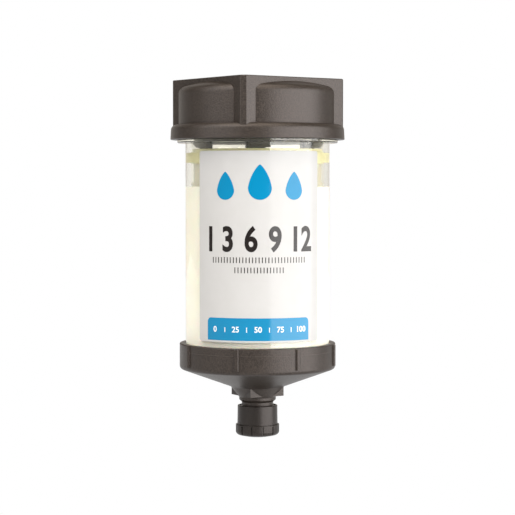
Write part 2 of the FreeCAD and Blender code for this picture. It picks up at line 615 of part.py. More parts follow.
def gas_cell():
    """Button cell that gives off the gas, with a stepped lid."""
    lid = GAS_CELL_TOP - GAS_LID_HEIGHT
    lid_r = GAS_CELL_R - GAS_LID_STEP
    return moved(revolved([(0, GAS_CELL_BOTTOM), (GAS_CELL_R - BATTERY_EDGE, GAS_CELL_BOTTOM),
                           (GAS_CELL_R, GAS_CELL_BOTTOM + BATTERY_EDGE), (GAS_CELL_R, lid),
                           (lid_r, lid), (lid_r, GAS_CELL_TOP - BATTERY_EDGE),
                           (lid_r - BATTERY_EDGE, GAS_CELL_TOP), (0, GAS_CELL_TOP)]), GAS_CELL_PLACE)


def gas_cell_seal():
    """Flat ring that seals the gas cell over its port."""
    return ring(GAS_CELL_R - GAS_SEAL_WIDTH, GAS_CELL_R, GAS_SOCKET, GAS_CELL_BOTTOM, GAS_CELL_PLACE)


def gas_cell_contact():
    """Bent strip between the gas cell's lid and the board."""
    t, reach = STRIP_THICK, CONTACT_REACH
    low, high = GAS_CELL_TOP, BOARD_BOTTOM
    corners = [(-reach, low), (reach, low), (reach, low + t), (-reach + 2 * t, low + t),
               (reach, high - t), (reach, high), (-reach, high), (-reach, high - t),
               (reach - 2 * t, high - t), (-reach, low + 2 * t)]
    wire = rounded_wire(corners, lambda p: V(p.x, -CONTACT_WIDTH / 2, p.y))
    return moved(Part.Face(wire).extrude(V(0, CONTACT_WIDTH, 0)), GAS_CELL_PLACE)


def circuit_board():
    """Round board with a straight edge, cut away around the screw bosses."""
    radius = HOUSING_BORE_R - BOARD_GAP
    disc = cylinder(radius, BOARD_BOTTOM, BOARD_TOP)
    back = Part.makeBox(2 * radius, radius, BOARD_THICK, V(-radius, BOARD_CHORD, BOARD_BOTTOM))
    holes = [cylinder(BOSS_R + BOARD_GAP, BOARD_BOTTOM, BOARD_TOP, place) for place in boss_places()]
    return disc.cut([back] + holes)


def switch_places():
    """Middle of each slider's slot."""
    first = -(SWITCH_COUNT - 1) * SWITCH_PITCH / 2
    return [(first + i * SWITCH_PITCH, GAS_CELL_PLACE[1]) for i in range(SWITCH_COUNT)]


def dip_switch_body():
    """Switch block with a row of slots for its sliders."""
    length = SWITCH_COUNT * SWITCH_PITCH + SWITCH_MARGIN
    body = block(length, SWITCH_WIDTH, BOARD_TOP, SWITCH_TOP, GAS_CELL_PLACE)
    slot_x = SLIDER_WIDTH + 2 * SWITCH_GAP
    slot_y = SLIDER_LENGTH + SLIDER_TRAVEL + 2 * SWITCH_GAP
    slots = [block(slot_x, slot_y, SWITCH_TOP - SLIDER_DEPTH - SWITCH_GAP, SWITCH_TOP, place)
             for place in switch_places()]
    return body.cut(slots)


def dip_slider(place):
    """One slider at its front stop, with a small square knob."""
    rest = (place[0], place[1] - SLIDER_TRAVEL / 2)
    foot = block(SLIDER_WIDTH, SLIDER_LENGTH, SWITCH_TOP - SLIDER_DEPTH, SWITCH_TOP, rest)
    knob = block(KNOB_SIZE, KNOB_SIZE, SWITCH_TOP, SWITCH_TOP + KNOB_HEIGHT, rest)
    return foot.fuse(knob)


def control_cover():
    """Lid over the cells and the board, with a window for the switches."""
    shell = revolved([(COVER_R - COVER_WALL, FLANGE_TOP), (COVER_R, FLANGE_TOP),
                      (COVER_R, COVER_ROOF, COVER_EDGE), (0, COVER_ROOF), (0, COVER_CEILING),
                      (COVER_R - COVER_WALL, COVER_CEILING)])
    studs = [cylinder(POST_R, LINK_TOP, COVER_CEILING, place) for place in BATTERY_PLACES]
    half_x = (SWITCH_COUNT * SWITCH_PITCH + SWITCH_MARGIN) / 2 + WINDOW_MARGIN
    half_y = SWITCH_WIDTH / 2 + WINDOW_MARGIN
    window = block(2 * half_x, 2 * half_y, COVER_CEILING, COVER_ROOF, GAS_CELL_PLACE)
    low = Part.makePolygon([V(x * half_x, y * half_y, COVER_ROOF - WINDOW_BEVEL)
                            for x, y in [(-1, -1), (1, -1), (1, 1), (-1, 1), (-1, -1)]])
    wide = Part.makePolygon([V(x * (half_x + WINDOW_BEVEL), y * (half_y + WINDOW_BEVEL), COVER_ROOF)
                             for x, y in [(-1, -1), (1, -1), (1, 1), (-1, 1), (-1, -1)]])
    bevel = moved(Part.makeLoft([low, wide], True), GAS_CELL_PLACE)
    head_floor = COVER_ROOF - SCREW_HEAD_HEIGHT - HEAD_GAP
    cuts = [window, bevel]
    cuts += [cylinder(SCREW_R + 2 * SCREW_GAP, COVER_CEILING, COVER_ROOF, place) for place in boss_places()]
    cuts += [cylinder(SCREW_HEAD_R + HEAD_GAP, head_floor, COVER_ROOF, place) for place in boss_places()]
    return shell.fuse(studs).cut(cuts).removeSplitter()


def cover_screws():
    """Slotted screws that hold the cover down on the bosses."""
    head_floor = COVER_ROOF - SCREW_HEAD_HEIGHT - HEAD_GAP
    head_top = head_floor + SCREW_HEAD_HEIGHT
    tip = head_floor - SCREW_LENGTH
    screw = revolved([(0, tip), (SCREW_TIP_R, tip), (SCREW_R, tip + SCREW_R),
                      (SCREW_R, head_floor), (SCREW_HEAD_R, head_floor),
                      (SCREW_HEAD_R, head_top - SCREW_BEVEL), (SCREW_HEAD_R - SCREW_BEVEL, head_top),
                      (0, head_top)])
    slot = block(SCREW_SLOT, 2 * SCREW_HEAD_R, head_top - SCREW_SLOT_DEPTH, head_top)
    screw = screw.cut(slot)
    return Part.makeCompound([moved(turned(screw, 35 * i), place) for i, place in enumerate(boss_places())])


def cap_seal():
    """Flat gasket between the collar and the step inside the cap."""
    bottom = COLLAR_TOP + GASKET_GAP
    return ring(CAP_BORE_R, COLLAR_R - COLLAR_EDGE, bottom, bottom + CAP_SEAL_HEIGHT)


def square_head():
    """The cap's square wrench head, with bevelled corners and softened edges."""
    near = HEAD_HALF - HEAD_BEVEL
    corners = [(HEAD_HALF, near), (near, HEAD_HALF), (-near, HEAD_HALF), (-HEAD_HALF, near),
               (-HEAD_HALF, -near), (-near, -HEAD_HALF), (near, -HEAD_HALF), (HEAD_HALF, -near)]
    bottom = SKIRT_TOP - SKIRT_EDGE
    head = prism([(x, y, HEAD_CORNER_ROUND) for x, y in corners], bottom, CAP_TOP - bottom)
    upper = [e for e in head.Edges if e.BoundBox.ZMin > CAP_TOP - 1e-3]
    return turned(head.makeFillet(HEAD_EDGE, upper), QUARTER + HEAD_TURN)


def dust_cap():
    """Moulded cap: a drum with a sloped shoulder, a square head and a round skirt."""
    drum_corner = CAP_TOP - (DRUM_R - DOME_TOP_R) * DOME_TAN
    drum = revolved([(0, SKIRT_BOTTOM), (SKIRT_R, SKIRT_BOTTOM, SOFT_EDGE),
                     (SKIRT_R - SKIRT_DRAFT, SKIRT_TOP, SKIRT_EDGE), (DRUM_R, SKIRT_TOP),
                     (DRUM_R, drum_corner, DRUM_EDGE), (DOME_TOP_R, CAP_TOP), (0, CAP_TOP)])
    inner_corner = drum_corner - CAP_ROOF / math.cos(math.radians(DOME_SLOPE)) + DRUM_WALL * DOME_TAN
    dome_in_r = CAP_BORE_R - (CAP_CEILING - inner_corner) / DOME_TAN
    hollow = revolved([(0, SKIRT_BOTTOM), (SKIRT_BORE_R, SKIRT_BOTTOM), (SKIRT_BORE_R, CAP_STEP),
                       (CAP_BORE_R, CAP_STEP), (CAP_BORE_R, inner_corner, CEILING_EDGE),
                       (dome_in_r, CAP_CEILING), (0, CAP_CEILING)])
    first = THREAD_BOTTOM + THREAD_PITCH / 2
    ridge = thread_ridge(CAP_BORE_R, THREAD_DEPTH, False, first, THREAD_TURNS)
    body = drum.fuse(square_head()).cut(hollow)
    return body.fuse(turned_copies(ridge, THREAD_STARTS)).removeSplitter()


def outlet_plug():
    """Screw-on closure of the outlet, with a notched grip flange."""
    inside_top = STEM_MOUTH_R + PLUG_TOP * STEM_TAPER + PLUG_GAP
    body = revolved([(0, PLUG_BOTTOM), (PLUG_FOOT_R, PLUG_BOTTOM),
                     (PLUG_FLANGE_R, PLUG_BOTTOM + PLUG_FOOT_RISE, PLUG_EDGE),
                     (PLUG_FLANGE_R, PLUG_FLANGE_TOP, PLUG_RIM_EDGE), (PLUG_R + PLUG_DRAFT, PLUG_FLANGE_TOP),
                     (PLUG_R, PLUG_TOP, PLUG_RIM_EDGE), (inside_top, PLUG_TOP),
                     (STEM_MOUTH_R + PLUG_GAP, PLUG_INSIDE), (0, PLUG_INSIDE)])
    notch_top = PLUG_FLANGE_TOP - NOTCH_TOP_GAP
    notch = block(NOTCH_WIDTH, 2 * NOTCH_DEPTH, PLUG_BOTTOM, notch_top, (0, -PLUG_FLANGE_R))
    return body.cut(turned_copies(notch, NOTCH_COUNT, 180 / NOTCH_COUNT))


def all_parts():
    unit_seal_z = NECK_TOP - UNIT_SEAL_DROP
    parts = {
        "base_funnel": base_funnel(),
        "outlet_plug": outlet_plug(),
        "base_seal": base_seal(),
        "reservoir": reservoir(),
        "label": label(),
        "grease_charge": grease_charge(),
        "piston": piston(),
        "piston_seal": seal_ring(CYL_BORE_R - SEAL_GAP, PISTON_SEAL_R, PISTON_SEAL_Z),
        "control_housing": control_housing(),
        "unit_seal": seal_ring(NECK_BORE_R - SEAL_GAP, UNIT_SEAL_R, unit_seal_z),
        "battery_springs": battery_springs(),
        "battery_link": battery_link(),
        "gas_cell": gas_cell(),
        "gas_cell_seal": gas_cell_seal(),
        "gas_cell_contact": gas_cell_contact(),
        "circuit_board": circuit_board(),
        "dip_switch_body": dip_switch_body(),
        "control_cover": control_cover(),
        "cover_screws": cover_screws(),
        "cap_seal": cap_seal(),
        "dust_cap": dust_cap(),
    }
    for i, place in enumerate(BATTERY_PLACES):
        parts[f"battery_{i + 1}"] = moved(battery(), place)
    for i, place in enumerate(switch_places()):
        parts[f"dip_slider_{i + 1}"] = dip_slider(place)
    return parts


os.makedirs("parts", exist_ok=True)
for name, shape in all_parts().items():
    box = shape.BoundBox
    print(f"{name:18s} solids {len(shape.Solids)} valid {shape.isValid()} volume {shape.Volume:9.1f}"
          f" z {box.ZMin:7.2f} to {box.ZMax:7.2f} r {max(box.XMax, box.YMax):6.2f}")
    shape.exportStep(f"parts/{name}.step")
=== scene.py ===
# %% [markdown]
# Automatic lubricator: a lesson in dressing a CAD model.
# The solids arrive as a fixed frame, at their real size and place. This file gives each piece the
# finish of the real one, adds the label with its print, the grease and the fine thread, and sets
# up the light and the camera as for a product photograph. Blender works in metres, so a size that
# is known in millimetres is multiplied by MM.

# %% Load the frame
import math

import bmesh
import bpy
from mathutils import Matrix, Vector


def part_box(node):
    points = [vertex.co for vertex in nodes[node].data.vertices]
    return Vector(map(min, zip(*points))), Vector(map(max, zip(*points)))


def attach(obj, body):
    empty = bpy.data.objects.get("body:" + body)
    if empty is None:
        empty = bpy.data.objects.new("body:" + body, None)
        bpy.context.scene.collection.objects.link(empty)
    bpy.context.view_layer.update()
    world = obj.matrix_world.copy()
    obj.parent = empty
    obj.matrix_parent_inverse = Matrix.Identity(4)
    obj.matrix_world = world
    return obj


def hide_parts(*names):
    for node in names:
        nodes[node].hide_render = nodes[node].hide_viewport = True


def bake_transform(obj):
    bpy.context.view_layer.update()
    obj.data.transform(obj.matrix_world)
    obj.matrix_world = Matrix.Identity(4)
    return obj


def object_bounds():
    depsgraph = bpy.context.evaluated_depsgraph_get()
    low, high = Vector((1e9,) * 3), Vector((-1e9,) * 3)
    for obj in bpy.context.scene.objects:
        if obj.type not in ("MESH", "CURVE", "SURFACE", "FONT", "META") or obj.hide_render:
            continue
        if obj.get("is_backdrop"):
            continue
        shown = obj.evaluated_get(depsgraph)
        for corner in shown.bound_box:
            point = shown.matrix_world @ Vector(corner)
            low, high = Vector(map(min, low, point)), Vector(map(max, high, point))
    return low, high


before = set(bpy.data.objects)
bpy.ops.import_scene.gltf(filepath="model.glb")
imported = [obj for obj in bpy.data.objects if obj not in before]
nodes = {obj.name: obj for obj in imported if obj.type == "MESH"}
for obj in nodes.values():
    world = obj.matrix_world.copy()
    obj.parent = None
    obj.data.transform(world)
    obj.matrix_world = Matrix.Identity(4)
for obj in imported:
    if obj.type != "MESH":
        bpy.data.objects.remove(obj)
cad_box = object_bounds()
MM = 0.001

# %% [markdown]
# The places of the new pieces are read from the frame, so they follow the solids if a size
# changes. Each box gives the lowest and highest corner of one solid at rest.

# %% Sizes taken from the frame
label_low, label_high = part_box("label")
grease_low, grease_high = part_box("grease_charge")
base_low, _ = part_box("base_funnel")
_, cover_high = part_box("control_cover")
_, seal_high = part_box("base_seal")

CYLINDER_R = seal_high.x
LABEL_BOTTOM, LABEL_TOP = label_low.z, label_high.z
print("cylinder radius", round(CYLINDER_R / MM, 2), "mm")
print("label", round((LABEL_TOP - LABEL_BOTTOM) / MM, 1), "mm tall")

# %% [markdown]
# The camera stands a long way off and only a little above the middle of the object, so the sides
# of the cylinder stay nearly parallel and the rings show as shallow curves. A long lens fills the
# frame from there.

# %% Camera
EYE_HEIGHT = 93.7 * MM
EYE_DISTANCE = 681 * MM
AIM_HEIGHT = 66.5 * MM
LENS_MM = 125.3
SENSOR_MM = 36

camera_data = bpy.data.cameras.new("camera")
camera_data.lens = LENS_MM
camera_data.sensor_width = SENSOR_MM
camera_data.clip_start = 0.01
camera_data.clip_end = 20
camera = bpy.data.objects.new("camera", camera_data)
bpy.context.scene.collection.objects.link(camera)
camera.location = (0, -EYE_DISTANCE, EYE_HEIGHT)
aim = Vector((0, 0, AIM_HEIGHT)) - camera.location
camera.rotation_euler = aim.to_track_quat("-Z", "Y").to_euler()
bpy.context.scene.camera = camera
print("camera", round(aim.length, 3), "m from its aim")

# %% [markdown]
# Colours are picked as sRGB hex values, as in a paint program, but the shaders work with linear
# light, so one function turns one into the other. A second small function adds a node to a
# material's tree with its settings and its links.

# %% Colour and node helpers
def linear(hex_code):
    """sRGB hex to linear red, green, blue and an alpha of 1."""
    channels = [int(hex_code[i:i + 2], 16) / 255 for i in (1, 3, 5)]
    return [c / 12.92 if c <= 0.04045 else ((c + 0.055) / 1.055) ** 2.4 for c in channels] + [1]


def add(tree, kind, settings=None, **sockets):
    """Add a node. Settings are its properties; sockets are named inputs, each a value or a link."""
    made = tree.nodes.new(kind)
    for name, value in (settings or {}).items():
        setattr(made, name, value)
    for name, value in sockets.items():
        if name.startswith("input_"):
            socket = made.inputs[int(name[6:])]
        else:
            socket = made.inputs[name.replace("_", " ")]
        if isinstance(value, bpy.types.NodeSocket):
            tree.links.new(value, socket)
        else:
            socket.default_value = value
    return made


def new_material(name):
    """An empty material, with its tree, its output node and its object coordinates."""
    material = bpy.data.materials.new(name)
    material.use_nodes = True
    tree = material.node_tree
    tree.nodes.clear()
    output = add(tree, "ShaderNodeOutputMaterial")
    coords = add(tree, "ShaderNodeTexCoord")
    return material, tree, output, coords.outputs["Object"]


def per_metre(size_mm):
    """Scale of a noise or Voronoi texture whose features are this many millimetres across."""
    return 1 / (size_mm * MM)


def wear(obj, material):
    """Give a whole piece one material."""
    obj.data.materials.clear()
    obj.data.materials.append(material)


print("the nylon's shade #484441 in linear light:", [round(c, 3) for c in linear("#484441")])

# %% [markdown]
# The cap, the base and the plug are injection-moulded in black glass-filled nylon. The mould is
# spark-eroded, so the skin has a fine even grain that breaks up the reflections: the faces that
# turn to the light look grey and slightly speckled, and the others stay nearly black. The real
# grain is about 0.1 mm, which is too fine to show here, so it is drawn about four times as
# coarse. Broad faint clouds stand for the uneven flow of the glass fibres. The same recipe with
# other colours serves the smaller mouldings.

# %% Moulded plastic
CLOUD_MM = 14
SPECK_SHARE, CLOUD_SHARE = 0.7, 0.3
ROUGHNESS_SPREAD = 0.05
SCATTER_MM = 1.5


def moulded(name, dark, light, roughness, grain_mm, grain_depth_mm, subsurface=0.0, warm="#ffffff"):
    """Grained plastic or rubber. Warm is the tint of its reflections."""
    material, tree, output, place = new_material(name)
    grain = add(tree, "ShaderNodeTexNoise", Vector=place, Scale=per_metre(grain_mm), Detail=2,
                Roughness=0.6)
    cloud = add(tree, "ShaderNodeTexNoise", Vector=place, Scale=per_metre(CLOUD_MM), Detail=3)
    speck = add(tree, "ShaderNodeMapRange", Value=grain.outputs["Fac"], From_Min=0.35,
                From_Max=0.65, To_Min=0, To_Max=SPECK_SHARE)
    tone = add(tree, "ShaderNodeMath", {"operation": "MULTIPLY_ADD"}, input_0=cloud.outputs["Fac"],
               input_1=CLOUD_SHARE, input_2=speck.outputs["Result"])
    colour = add(tree, "ShaderNodeMix", {"data_type": "RGBA"}, input_0=tone.outputs["Value"],
                 input_6=linear(dark), input_7=linear(light))
    rough = add(tree, "ShaderNodeMapRange", Value=speck.outputs["Result"], From_Min=0,
                From_Max=SPECK_SHARE, To_Min=roughness - ROUGHNESS_SPREAD,
                To_Max=roughness + ROUGHNESS_SPREAD)
    bump = add(tree, "ShaderNodeBump", Height=grain.outputs["Fac"], Strength=0.6,
               Distance=grain_depth_mm * MM)
    shader = add(tree, "ShaderNodeBsdfPrincipled", Base_Color=colour.outputs[2], IOR=1.53,
                 Roughness=rough.outputs["Result"], Normal=bump.outputs["Normal"],
                 Specular_Tint=linear(warm))
    if subsurface:
        shader.inputs["Subsurface Weight"].default_value = subsurface
        shader.inputs["Subsurface Scale"].default_value = SCATTER_MM * MM
    tree.links.new(shader.outputs["BSDF"], output.inputs["Surface"])
    return material


NYLON_WARM = "#fff4f0"
NYLON_GRAIN, PLUG_GRAIN = 0.45, 0.4
nylon = moulded("moulded_black_nylon", "#14110d", "#403832", 0.37, NYLON_GRAIN, 0.13, warm=NYLON_WARM)
# The plug has a shallower grain, and its nylon is painted darker than the cap's to stand for the shade
# it sits in under the funnel.
plug_nylon_painted_shade = moulded("moulded_black_nylon_smooth_painted_shade", "#161310", "#221d18", 0.36, PLUG_GRAIN, 0.03,
                     warm=NYLON_WARM)
for name in ("dust_cap", "base_funnel"):
    wear(nodes[name], nylon)
wear(nodes["outlet_plug"], plug_nylon_painted_shade)
print("nylon grain", NYLON_GRAIN, "mm on the cap and the base,", PLUG_GRAIN, "mm on the plug")

# %% [markdown]
# The reservoir is moulded in a clear styrene plastic, so the grease level and the piston can be
# read from outside. Glass-like shading bends the light in the thick wall, as on the real one, but
# it would also keep the lamps from lighting the grease. So for the rays that go to the lamps the
# wall is made plainly transparent. The plastic takes a little of the blue out of the light on the
# way through, so the thick collar looks warmer than the thin wall. A few long faint ripples from
# the moulding keep it from looking like glass.

# %% Clear wall
material, tree, output, place = new_material("moulded_clear_styrene")
ripple = add(tree, "ShaderNodeTexNoise", Vector=place, Scale=per_metre(9), Detail=1)
bump = add(tree, "ShaderNodeBump", Height=ripple.outputs["Fac"], Strength=0.35, Distance=0.05 * MM)
wall = add(tree, "ShaderNodeBsdfPrincipled", Base_Color=linear("#fbf9f2"), Roughness=0.04, IOR=1.55,
           Normal=bump.outputs["Normal"])
wall.inputs["Transmission Weight"].default_value = 1
rays = add(tree, "ShaderNodeLightPath")
let_through = add(tree, "ShaderNodeBsdfTransparent", Color=linear("#f6f4ea"))
mixed = add(tree, "ShaderNodeMixShader", input_0=rays.outputs["Is Shadow Ray"],
            input_1=wall.outputs["BSDF"], input_2=let_through.outputs["BSDF"])
tree.links.new(mixed.outputs["Shader"], output.inputs["Surface"])
tint = add(tree, "ShaderNodeVolumeAbsorption", Color=linear("#fbf5dc"), Density=28)
tree.links.new(tint.outputs["Volume"], output.inputs["Volume"])
wear(nodes["reservoir"], material)
print("clear wall: index of refraction", round(wall.inputs["IOR"].default_value, 2))

# %% [markdown]
# The piston is moulded in an unpigmented plastic that looks like wax, with a yellow-green seal
# around its upper land. Both show through the wall. Above a set height the piston takes the
# seal's colour, so the two read as one band, which is how the real one looks through the clear
# plastic.

# %% Piston and its seal
LAND_LOW = 101.8 * MM
material, tree, output, place = new_material("moulded_natural_polypropylene")
height = add(tree, "ShaderNodeSeparateXYZ", Vector=place)
land = add(tree, "ShaderNodeMath", {"operation": "GREATER_THAN"}, input_0=height.outputs["Z"],
           input_1=LAND_LOW)
haze = add(tree, "ShaderNodeTexNoise", Vector=place, Scale=per_metre(4), Detail=2)
body = add(tree, "ShaderNodeMix", {"data_type": "RGBA"}, input_0=haze.outputs["Fac"],
           input_6=linear("#a9a89b"), input_7=linear("#b8b7ab"))
olive = add(tree, "ShaderNodeMix", {"data_type": "RGBA"}, input_0=haze.outputs["Fac"],
            input_6=linear("#c6c398"), input_7=linear("#d1cea6"))
colour = add(tree, "ShaderNodeMix", {"data_type": "RGBA"}, input_0=land.outputs["Value"],
             input_6=body.outputs[2], input_7=olive.outputs[2])
shader = add(tree, "ShaderNodeBsdfPrincipled", Base_Color=colour.outputs[2], Roughness=0.35,
             Subsurface_Weight=0.15, Subsurface_Scale=1.2 * MM)
tree.links.new(shader.outputs["BSDF"], output.inputs["Surface"])
wear(nodes["piston"], material)
olive_rubber = moulded("moulded_olive_polyurethane", "#d8d4aa", "#e4e0b8", 0.4, 0.8, 0.02)
wear(nodes["piston_seal"], olive_rubber)
print("olive land from", round(LAND_LOW / MM, 1), "mm up")

# %% [markdown]
# The gaskets are black nitrile rubber: matt, with a slightly uneven skin. The control unit is
# made of black and dark grey mouldings, a green circuit board and a blue switch block with white
# sliders, which are all ordinary catalogue parts.

# %% Rubber, housing, board and switch
SLIDERS = 5

rubber = moulded("pressed_nitrile_rubber", "#161615", "#232321", 0.62, 0.7, 0.03)
for name in ("base_seal", "unit_seal", "gas_cell_seal", "cap_seal"):
    wear(nodes[name], rubber)
wear(nodes["control_housing"], moulded("moulded_black_abs", "#26241b", "#322f24", 0.4, 0.5, 0.02))
wear(nodes["control_cover"], moulded("moulded_grey_abs", "#4a4c4e", "#5a5c5e", 0.42, 0.45, 0.03))
wear(nodes["circuit_board"],
     moulded("solder_mask_on_epoxy_laminate", "#14502f", "#1d6a3f", 0.25, 1.6, 0.02))
wear(nodes["dip_switch_body"],
     moulded("moulded_blue_polyester", "#164a9a", "#1d57b0", 0.35, 0.5, 0.01))
slider_plastic = moulded("moulded_white_nylon", "#dcdad2", "#efede6", 0.35, 0.4, 0.01,
                         subsurface=0.1)
for i in range(1, SLIDERS + 1):
    wear(nodes[f"dip_slider_{i}"], slider_plastic)
print("sliders in white nylon:", SLIDERS)

# %% [markdown]
# The cells have drawn steel cans with bright nickel plating, the springs and strips are nickel
# silver sheet, and the screws are steel with a bluish zinc coat. A metal's colour is its
# reflection, so these are fully metallic and differ in tint and in how fine and how strong their
# brushing is.

# %% Metals
BRUSH_STRETCH = (1, 1, 12)
BRUSH_SPREAD = 0.08


def metal(name, tint, shade, roughness, brush_mm):
    """Brushed metal. Its tint and its shade are the two ends of the brushing."""
    material, tree, output, place = new_material(name)
    along = add(tree, "ShaderNodeMapping", Vector=place, Scale=BRUSH_STRETCH)
    brush = add(tree, "ShaderNodeTexNoise", Vector=along.outputs["Vector"],
                Scale=per_metre(brush_mm), Detail=3)
    colour = add(tree, "ShaderNodeMix", {"data_type": "RGBA"}, input_0=brush.outputs["Fac"],
                 input_6=linear(shade), input_7=linear(tint))
    rough = add(tree, "ShaderNodeMapRange", Value=brush.outputs["Fac"],
                To_Min=roughness - BRUSH_SPREAD, To_Max=roughness + BRUSH_SPREAD)
    shader = add(tree, "ShaderNodeBsdfPrincipled", Base_Color=colour.outputs[2], Metallic=1,
                 Roughness=rough.outputs["Result"])
    tree.links.new(shader.outputs["BSDF"], output.inputs["Surface"])
    return material


can = metal("nickel_plated_steel", "#c9c4bb", "#a9a49b", 0.22, 3)
strip = metal("rolled_nickel_silver", "#d2cab8", "#b4ac9a", 0.3, 2)
zinc = metal("zinc_plated_steel", "#c4c8cc", "#9ea3a8", 0.32, 1)
for name in ("battery_1", "battery_2", "gas_cell"):
    wear(nodes[name], can)
for name in ("battery_springs", "battery_link", "gas_cell_contact"):
    wear(nodes[name], strip)
wear(nodes["cover_screws"], zinc)
print("metals:", can.name, strip.name, zinc.name)

# %% [markdown]
# The grease is a smooth cream paste. The CAD holds it as one plain solid; here it is two turned
# pieces. The column stands under the piston and reaches down by the piston's whole travel and a
# last film. The rest stays in the funnel and the throat. Both ends of the column have the cone of
# the piston's nose. Grease wets the wall, with no air in between, so the column reaches a few
# hundredths of a millimetre into it: an air gap would mirror, and show as a bright rim. A profile
# of a few points is spun about the axis, which is how such a shape is drawn on paper.

# %% Grease pieces
NOSE_R, CONE_R = 7 * MM, 23.6 * MM
NOSE_SLOPE = math.radians(20)
THROAT_R, THROAT_TALL = 3.1 * MM, 15 * MM
WALL, WETTED = 2 * MM, 0.05 * MM
GREASE_R = CYLINDER_R - WALL + WETTED
FOOT = grease_high.z
NOSE = FOOT - (CONE_R - NOSE_R) * math.tan(NOSE_SLOPE)
TRAVEL = 66 * MM
REST_GAP = 0.03 * MM
LAST_FILM = 0.03 * MM
BED = 1 * MM
SPIN_STEPS = 128
MERGE = 1e-6
SHARP = math.radians(35)


def put(name, mesh, material, body=None):
    """Turn a bmesh into an object that wears a material and rides on a body, if one is named."""
    bmesh.ops.recalc_face_normals(mesh, faces=mesh.faces)
    data = bpy.data.meshes.new(name)
    mesh.to_mesh(data)
    mesh.free()
    data.shade_smooth()
    data.set_sharp_from_angle(angle=SHARP)
    obj = bpy.data.objects.new(name, data)
    bpy.context.scene.collection.objects.link(obj)
    wear(obj, material)
    if body:
        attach(obj, body)
    return obj


def spun(points):
    """Closed profile of (radius, height) points, spun once about the Z axis."""
    mesh = bmesh.new()
    corners = [mesh.verts.new((radius, 0, height)) for radius, height in points]
    edges = [mesh.edges.new((corners[i - 1], corner)) for i, corner in enumerate(corners)]
    bmesh.ops.spin(mesh, geom=corners + edges, cent=(0, 0, 0), axis=(0, 0, 1), angle=math.tau,
                   steps=SPIN_STEPS, use_merge=True)
    bmesh.ops.remove_doubles(mesh, verts=mesh.verts, dist=MERGE)
    bmesh.ops.dissolve_degenerate(mesh, dist=MERGE / 10, edges=mesh.edges)
    return mesh


grease, tree, output, place = new_material("lithium_grease")
swirl = add(tree, "ShaderNodeTexNoise", Vector=place, Scale=per_metre(16), Detail=3, Distortion=1.5)
colour = add(tree, "ShaderNodeMix", {"data_type": "RGBA"}, input_0=swirl.outputs["Fac"],
             input_6=linear("#e6e4dc"), input_7=linear("#efeee8"))
bump = add(tree, "ShaderNodeBump", Height=swirl.outputs["Fac"], Strength=0.2, Distance=0.2 * MM)
shader = add(tree, "ShaderNodeBsdfPrincipled", Base_Color=colour.outputs[2], Roughness=0.3,
             IOR=1.48, Subsurface_Weight=0.2, Subsurface_Scale=2 * MM,
             Normal=bump.outputs["Normal"])
tree.links.new(shader.outputs["BSDF"], output.inputs["Surface"])

low_nose, low_foot = NOSE - TRAVEL - LAST_FILM, FOOT - TRAVEL - LAST_FILM
column = put("grease_column", spun([(0, low_nose), (NOSE_R, low_nose), (CONE_R, low_foot),
                                    (GREASE_R, low_foot), (GREASE_R, FOOT), (CONE_R, FOOT),
                                    (NOSE_R, NOSE), (0, NOSE)]), grease)
fill = put("grease_fill", spun([(0, grease_low.z), (THROAT_R, grease_low.z),
                                (THROAT_R, base_low.z + THROAT_TALL),
                                (NOSE_R - BED, low_nose - BED), (CONE_R, low_foot - BED),
                                (CONE_R, low_foot - REST_GAP), (NOSE_R, low_nose - REST_GAP),
                                (0, low_nose - REST_GAP)]), grease, "reservoir_body")
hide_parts("grease_charge")
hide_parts("grease_charge")
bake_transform(column)
print("grease column", round((FOOT - low_foot) / MM, 1), "mm tall")

# %% [markdown]
# The seal's lip is pressed flat against the wall, and the grease film closes the last gap. So a
# thin sleeve in the seal's material lies over the piston's land and wets the wall like the grease
# does. It rides on the piston.

# %% Seal lip
LIP_LOW, LIP_HIGH = 102.2 * MM, 106.3 * MM
LIP_THICK, LIP_SLOPE = 0.6 * MM, 0.2 * MM
lip = put("piston_lip", spun([(GREASE_R - LIP_THICK, LIP_LOW), (GREASE_R, LIP_LOW + LIP_SLOPE),
                              (GREASE_R, LIP_HIGH - LIP_SLOPE), (GREASE_R - LIP_THICK, LIP_HIGH)]),
          olive_rubber, "piston_body")
print("lip", round((LIP_HIGH - LIP_LOW) / MM, 1), "mm tall")

# %% [markdown]
# The label is a white plastic film with rounded corners. It could be cut from a tube, but a flat
# card that is bent round the cylinder is nearer to how a label is made, and the print can be bent
# by the same function. The card is first sliced every millimetre, because only a mesh with enough
# edges can bend.

# %% Flat shapes and bending
SLICE = 1 * MM
FILM = 0.12 * MM
LABEL_LEFT, LABEL_RIGHT = -24.49 * MM, 25.73 * MM
CORNER = 1 * MM
CORNER_STEPS = 6


def thicken(mesh, thickness):
    """Raise every face of a flat mesh by its thickness, so it becomes a closed solid."""
    raised = bmesh.ops.extrude_face_region(mesh, geom=mesh.faces[:])["geom"]
    points = [item for item in raised if isinstance(item, bmesh.types.BMVert)]
    bmesh.ops.translate(mesh, verts=points, vec=(0, 0, thickness))


def card(left, right, bottom, top, corner=0, top_only=False):
    """Flat rectangle: x runs along the label, y runs up."""
    mesh = bmesh.new()
    bmesh.ops.create_grid(mesh, x_segments=1, y_segments=1, size=0.5)
    bmesh.ops.scale(mesh, verts=mesh.verts, vec=(right - left, top - bottom, 1))
    bmesh.ops.translate(mesh, verts=mesh.verts, vec=((left + right) / 2, (bottom + top) / 2, 0))
    if corner:
        chosen = [v for v in mesh.verts if not top_only or v.co.y > (bottom + top) / 2]
        bmesh.ops.bevel(mesh, geom=chosen, affect="VERTICES", offset=corner, segments=CORNER_STEPS,
                        profile=0.5, material=-1)
    return mesh


